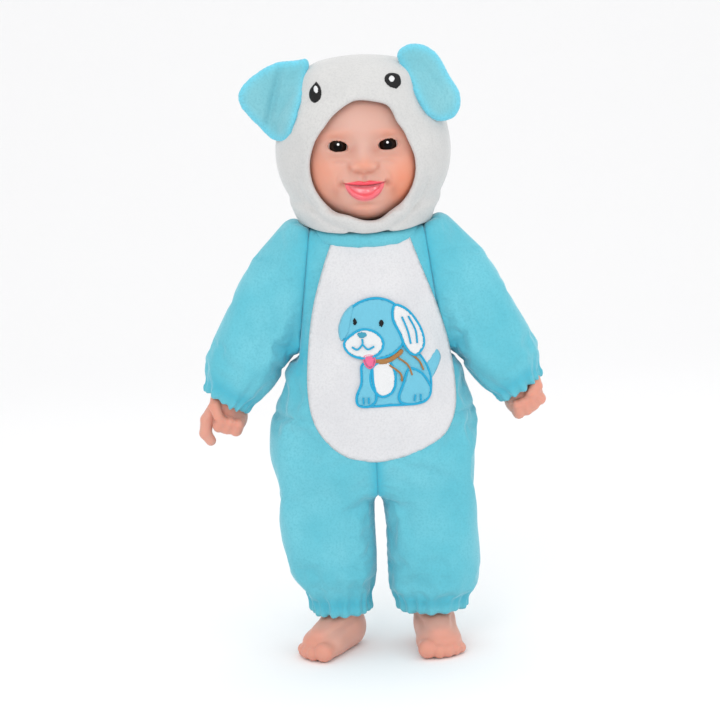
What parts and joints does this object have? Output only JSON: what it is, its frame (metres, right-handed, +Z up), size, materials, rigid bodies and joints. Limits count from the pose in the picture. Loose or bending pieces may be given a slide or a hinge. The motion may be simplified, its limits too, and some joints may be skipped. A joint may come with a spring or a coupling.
{
  "type": "baby doll",
  "caption": "Soft-bodied baby doll with vinyl face, hands and feet in a hooded plush puppy suit, with press-to-play sound box in its back.",
  "frame": {"origin": "on the ground midway under the doll, centred on its overall width and depth", "axes": "+Z up through the head, the doll faces -Y, +X is the doll's own left"},
  "size_m": [0.2789, 0.13, 0.4783],
  "materials": {
    "stuffing": "matte",
    "blue_plush": "matte",
    "white_plush": "matte",
    "embroidery": "satin",
    "black_thread": "satin",
    "hook_and_loop": "matte",
    "box_plastic": "matte",
    "cell_jacket": "satin",
    "contact_metal": "bright",
    "board": "satin",
    "speaker_steel": "satin",
    "speaker_paper": "matte",
    "black_plastic": "matte",
    "switch_plastic": "satin",
    "motor_steel": "bright",
    "weight_metal": "satin",
    "screw_steel": "bright",
    "wire": "satin",
    "vinyl_skin": "soft satin",
    "eye_plastic": "gloss",
    "tie_nylon": "satin",
    "elastic": "matte"
  },
  "bodies": {
    "torso": {"body_stuffing": "stuffing", "suit_torso": "blue_plush", "belly_panel": "white_plush", "puppy_applique": "embroidery", "collar_band": "blue_plush", "loop_strip": "hook_and_loop", "box_front_shell": "box_plastic", "box_rear_shell": "box_plastic", "battery_cells": "cell_jacket", "battery_contacts": "contact_metal", "circuit_board": "board", "speaker_frame": "speaker_steel", "speaker_cone": "speaker_paper", "microphone": "black_plastic", "switch_body": "black_plastic", "shaker_motor": "motor_steel", "case_screws": "screw_steel", "press_switch_base": "box_plastic", "press_switch_spring": "screw_steel", "switch_wires": "wire"},
    "neck": {"neck_stuffing": "stuffing", "neck_disc": "black_plastic"},
    "head": {"head_shell": "vinyl_skin", "eye_left": "eye_plastic", "eye_right": "eye_plastic", "neck_tie": "tie_nylon", "hood": "white_plush", "hood_eye_left": "black_thread", "hood_eye_right": "black_thread"},
    "ear_left": {"ear_left": "blue_plush"},
    "ear_right": {"ear_right": "blue_plush"},
    "back_flap": {"back_flap": "blue_plush", "hook_strip": "hook_and_loop"},
    "battery_door": {"battery_door": "box_plastic", "door_screw": "screw_steel"},
    "press_cap": {"press_switch_cap": "switch_plastic"},
    "switch_knob": {"slide_switch_knob": "switch_plastic"},
    "shaker": {"eccentric_weight": "weight_metal"},
    "arm_left": {"sleeve_left": "blue_plush", "arm_stuffing_left": "stuffing", "cuff_elastic_left": "elastic", "wrist_tie_left": "tie_nylon"},
    "hand_left": {"hand_left": "vinyl_skin"},
    "leg_left": {"trouser_left": "blue_plush", "leg_stuffing_left": "stuffing", "ankle_elastic_left": "elastic", "ankle_tie_left": "tie_nylon"},
    "foot_left": {"foot_left": "vinyl_skin"},
    "arm_right": {"sleeve_right": "blue_plush", "arm_stuffing_right": "stuffing", "cuff_elastic_right": "elastic", "wrist_tie_right": "tie_nylon"},
    "hand_right": {"hand_right": "vinyl_skin"},
    "leg_right": {"trouser_right": "blue_plush", "leg_stuffing_right": "stuffing", "ankle_elastic_right": "elastic", "ankle_tie_right": "tie_nylon"},
    "foot_right": {"foot_right": "vinyl_skin"}
  },
  "joints": [
    {"name": "neck_nod", "type": "hinge", "parent": "torso", "child": "neck", "pos_m": [0, -0.0032, 0.34], "axis": [1, 0, 0], "range_deg": [-8, 12]},
    {"name": "head_turn", "type": "hinge", "parent": "neck", "child": "head", "pos_m": [0, -0.0032, 0.34], "axis": [0, 0, 1], "range_deg": [-60, 60]},
    {"name": "ear_left_flop", "type": "hinge", "parent": "head", "child": "ear_left", "pos_m": [0.026, -0.0282, 0.468], "axis": [0, -1, 0], "range_deg": [0, 60]},
    {"name": "ear_right_flop", "type": "hinge", "parent": "head", "child": "ear_right", "pos_m": [-0.041, -0.0212, 0.471], "axis": [0, 1, 0], "range_deg": [0, 45]},
    {"name": "shoulder_left", "type": "hinge", "parent": "torso", "child": "arm_left", "pos_m": [0.05, -0.0032, 0.318], "axis": [-1, 0, 0], "range_deg": [-50, 90]},
    {"name": "wrist_left_turn", "type": "hinge", "parent": "arm_left", "child": "hand_left", "pos_m": [0.05, -0.0032, 0.318], "axis": [0.515, 0, -0.8572], "range_deg": [-60, 60]},
    {"name": "hip_left", "type": "hinge", "parent": "torso", "child": "leg_left", "pos_m": [0.041, -0.0032, 0.15], "axis": [-1, 0, 0], "range_deg": [-15, 90]},
    {"name": "ankle_left_turn", "type": "hinge", "parent": "leg_left", "child": "foot_left", "pos_m": [0.041, -0.0032, 0.03], "axis": [0, 0, 1], "range_deg": [-30, 35]},
    {"name": "shoulder_right", "type": "hinge", "parent": "torso", "child": "arm_right", "pos_m": [-0.05, -0.0032, 0.318], "axis": [-1, 0, 0], "range_deg": [-50, 90]},
    {"name": "wrist_right_turn", "type": "hinge", "parent": "arm_right", "child": "hand_right", "pos_m": [-0.05, -0.0032, 0.318], "axis": [-0.515, 0, -0.8572], "range_deg": [-60, 60]},
    {"name": "hip_right", "type": "hinge", "parent": "torso", "child": "leg_right", "pos_m": [-0.041, -0.0032, 0.15], "axis": [-1, 0, 0], "range_deg": [-15, 90]},
    {"name": "ankle_right_turn", "type": "hinge", "parent": "leg_right", "child": "foot_right", "pos_m": [-0.033, -0.0032, 0.03], "axis": [0, 0, 1], "range_deg": [-15, 45]},
    {"name": "belly_press", "type": "slide", "parent": "torso", "child": "press_cap", "axis": [0, 1, 0], "range_m": [0, 0.002], "stiffness_N_per_m": 400, "springref_m": -0.001},
    {"name": "switch_slide", "type": "slide", "parent": "torso", "child": "switch_knob", "axis": [1, 0, 0], "range_m": [0, 0.003]},
    {"name": "shaker_spin", "type": "hinge", "parent": "torso", "child": "shaker", "pos_m": [0.002, 0.0114, 0.1985], "axis": [1, 0, 0], "continuous": true},
    {"name": "back_flap_open", "type": "hinge", "parent": "torso", "child": "back_flap", "pos_m": [-0.036, 0.04624, 0.187], "axis": [0, -0.1335, 0.991], "range_deg": [0, 100]},
    {"name": "battery_door_open", "type": "hinge", "parent": "torso", "child": "battery_door", "pos_m": [-0.02675, 0.0315, 0.212], "axis": [0, 0, 1], "range_deg": [0, 100]}
  ],
  "couplings": [
    {"joint": "battery_door_open", "follows": "back_flap_open", "ratio": 1}
  ]
}
